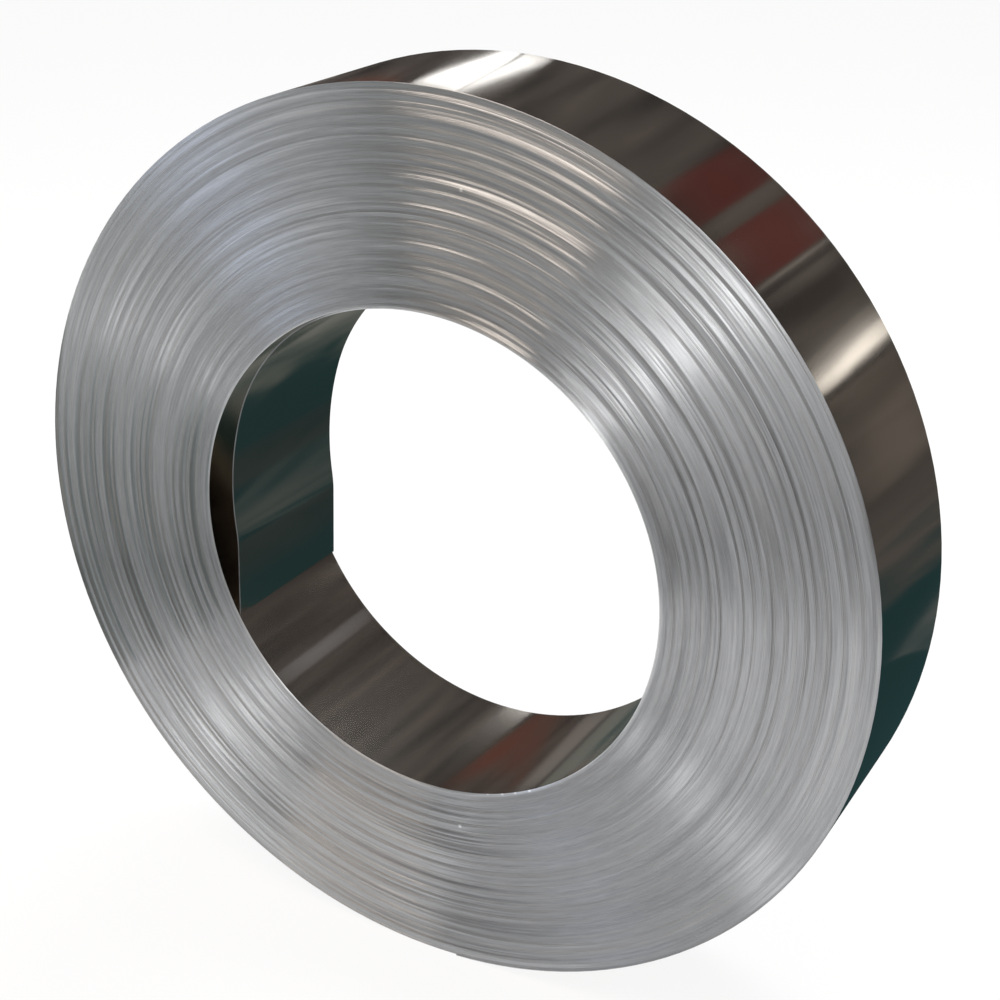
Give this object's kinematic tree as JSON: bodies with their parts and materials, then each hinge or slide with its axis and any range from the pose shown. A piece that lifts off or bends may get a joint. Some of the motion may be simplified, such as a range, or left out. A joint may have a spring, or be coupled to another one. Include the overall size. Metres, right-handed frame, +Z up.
{
  "type": "strip coil",
  "caption": "Coil of slit nickel alloy strip standing on its rim, wound round an open bore, with uneven turn edges on both ends and a sprung loose inner end.",
  "frame": {"origin": "on the floor, midway along the coil's width, under its axis", "axes": "+X to the right and +Z up across the coil, +Y along the coil's axis from its front end to its back end"},
  "size_m": [0.5454, 0.1038, 0.545],
  "materials": {
    "nickel_alloy_strip": "bright annealed faces with slit edges"
  },
  "bodies": {
    "root": {"strip_coil": "nickel_alloy_strip"}
  },
  "joints": []
}
